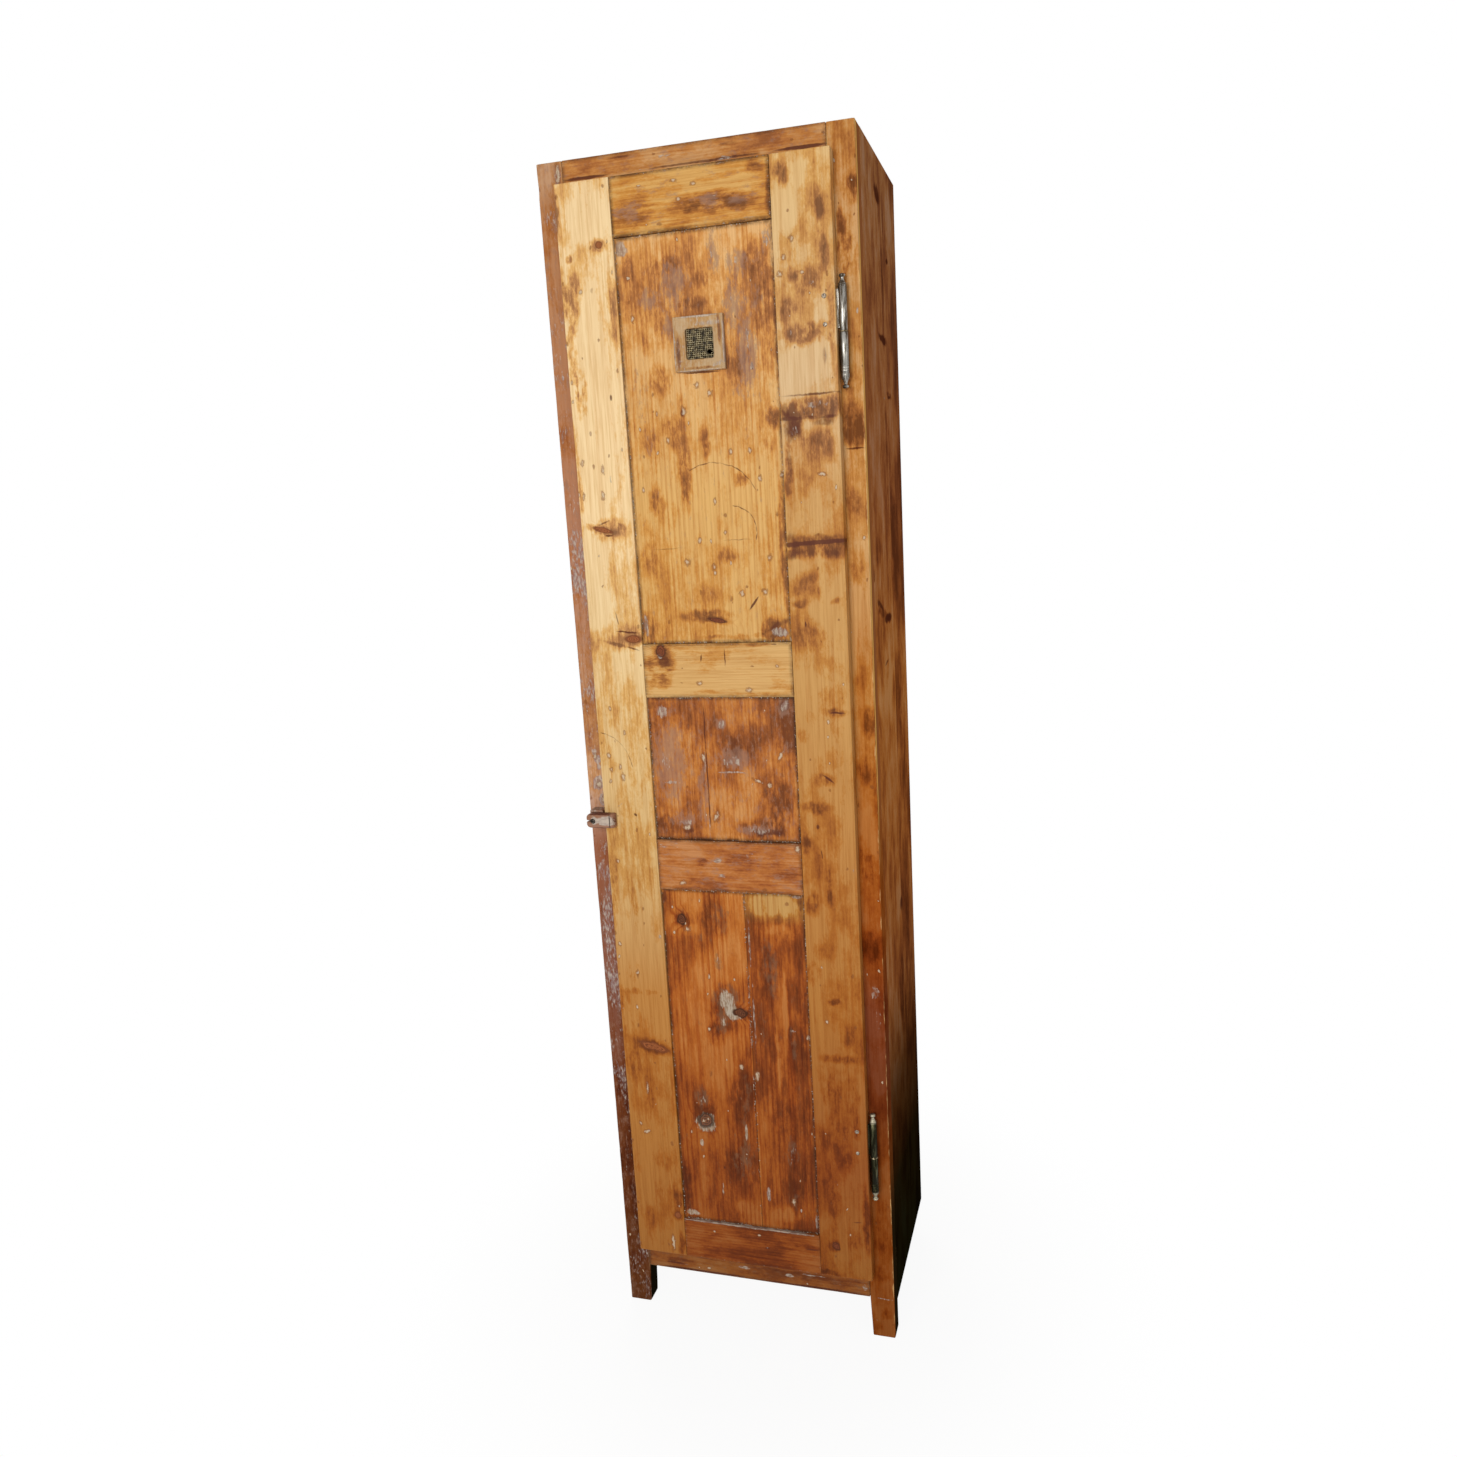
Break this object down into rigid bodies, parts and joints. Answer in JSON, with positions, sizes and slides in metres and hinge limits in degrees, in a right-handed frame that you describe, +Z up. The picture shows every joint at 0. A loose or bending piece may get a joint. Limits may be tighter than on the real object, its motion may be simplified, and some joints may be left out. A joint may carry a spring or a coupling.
{
  "type": "wooden locker",
  "caption": "Tall narrow wooden locker on feet, with a framed and panelled hinged door, a small mesh vent, a turn button, a hat shelf and coat pegs.",
  "frame": {"origin": "on the floor, in the middle of the box round the closed locker", "axes": "+Z up, the door faces -Y, +X to the right as seen from the front"},
  "size_m": [0.482, 0.3475, 1.9],
  "materials": {
    "red_paint_wood": "pine with worn red-brown paint",
    "gold_pine": "stripped and waxed golden pine",
    "brown_pine": "stripped pine with dark stain left in it",
    "pale_pine": "stripped pale pine with knots",
    "dark_pine": "old dark brown pine",
    "grey_wood": "wood with rubbed grey paint",
    "worn_steel": "worn bare steel",
    "black_steel": "dark tarnished steel",
    "old_brass": "dull old brass"
  },
  "bodies": {
    "carcass": {"front_left_post": "red_paint_wood", "front_right_post": "gold_pine", "hat_shelf": "gold_pine", "peg_rail": "gold_pine", "left_coat_peg": "gold_pine", "right_coat_peg": "gold_pine", "front_top_rail": "brown_pine", "front_bottom_rail": "brown_pine", "back_left_post": "dark_pine", "back_right_post": "dark_pine", "back_top_rail": "dark_pine", "back_bottom_rail": "dark_pine", "left_side_front_board": "dark_pine", "left_side_back_board": "dark_pine", "right_side_front_board": "dark_pine", "right_side_back_board": "dark_pine", "back_board_left": "dark_pine", "back_board_middle": "dark_pine", "back_board_right": "dark_pine", "top_board": "dark_pine", "floor_board": "dark_pine", "left_top_cleat": "dark_pine", "right_top_cleat": "dark_pine", "left_shelf_cleat": "dark_pine", "right_shelf_cleat": "dark_pine", "left_floor_cleat": "dark_pine", "right_floor_cleat": "dark_pine", "button_packer": "grey_wood", "upper_hinge_post_knuckle": "worn_steel", "upper_hinge_pin": "worn_steel", "lower_hinge_post_knuckle": "worn_steel", "lower_hinge_pin": "worn_steel", "button_screw": "black_steel", "upper_hinge_ring": "old_brass", "lower_hinge_ring": "old_brass"},
    "door": {"door_left_stile": "pale_pine", "door_right_stile": "pale_pine", "door_bottom_rail": "gold_pine", "door_lower_middle_rail": "gold_pine", "door_upper_middle_rail": "gold_pine", "door_top_rail": "gold_pine", "lower_panel_left": "brown_pine", "lower_panel_right": "brown_pine", "middle_panel": "brown_pine", "upper_panel": "brown_pine", "vent_trim_top": "grey_wood", "vent_trim_right": "grey_wood", "vent_trim_bottom": "grey_wood", "vent_trim_left": "grey_wood", "vent_mesh": "black_steel", "upper_hinge_door_knuckle": "worn_steel", "lower_hinge_door_knuckle": "worn_steel", "upper_hinge_low_nail": "worn_steel", "upper_hinge_high_nail": "worn_steel", "lower_hinge_low_nail": "worn_steel", "lower_hinge_high_nail": "worn_steel"},
    "turn_button": {"turn_button": "grey_wood"}
  },
  "joints": [
    {"name": "door_hinge", "type": "hinge", "parent": "carcass", "child": "door", "pos_m": [0.2175, -0.1465, 0.119], "axis": [0, 0, 1], "range_deg": [0, 170]},
    {"name": "turn_button_pivot", "type": "hinge", "parent": "carcass", "child": "turn_button", "pos_m": [-0.2205, -0.1573, 0.903], "axis": [0, -1, 0], "continuous": true}
  ]
}
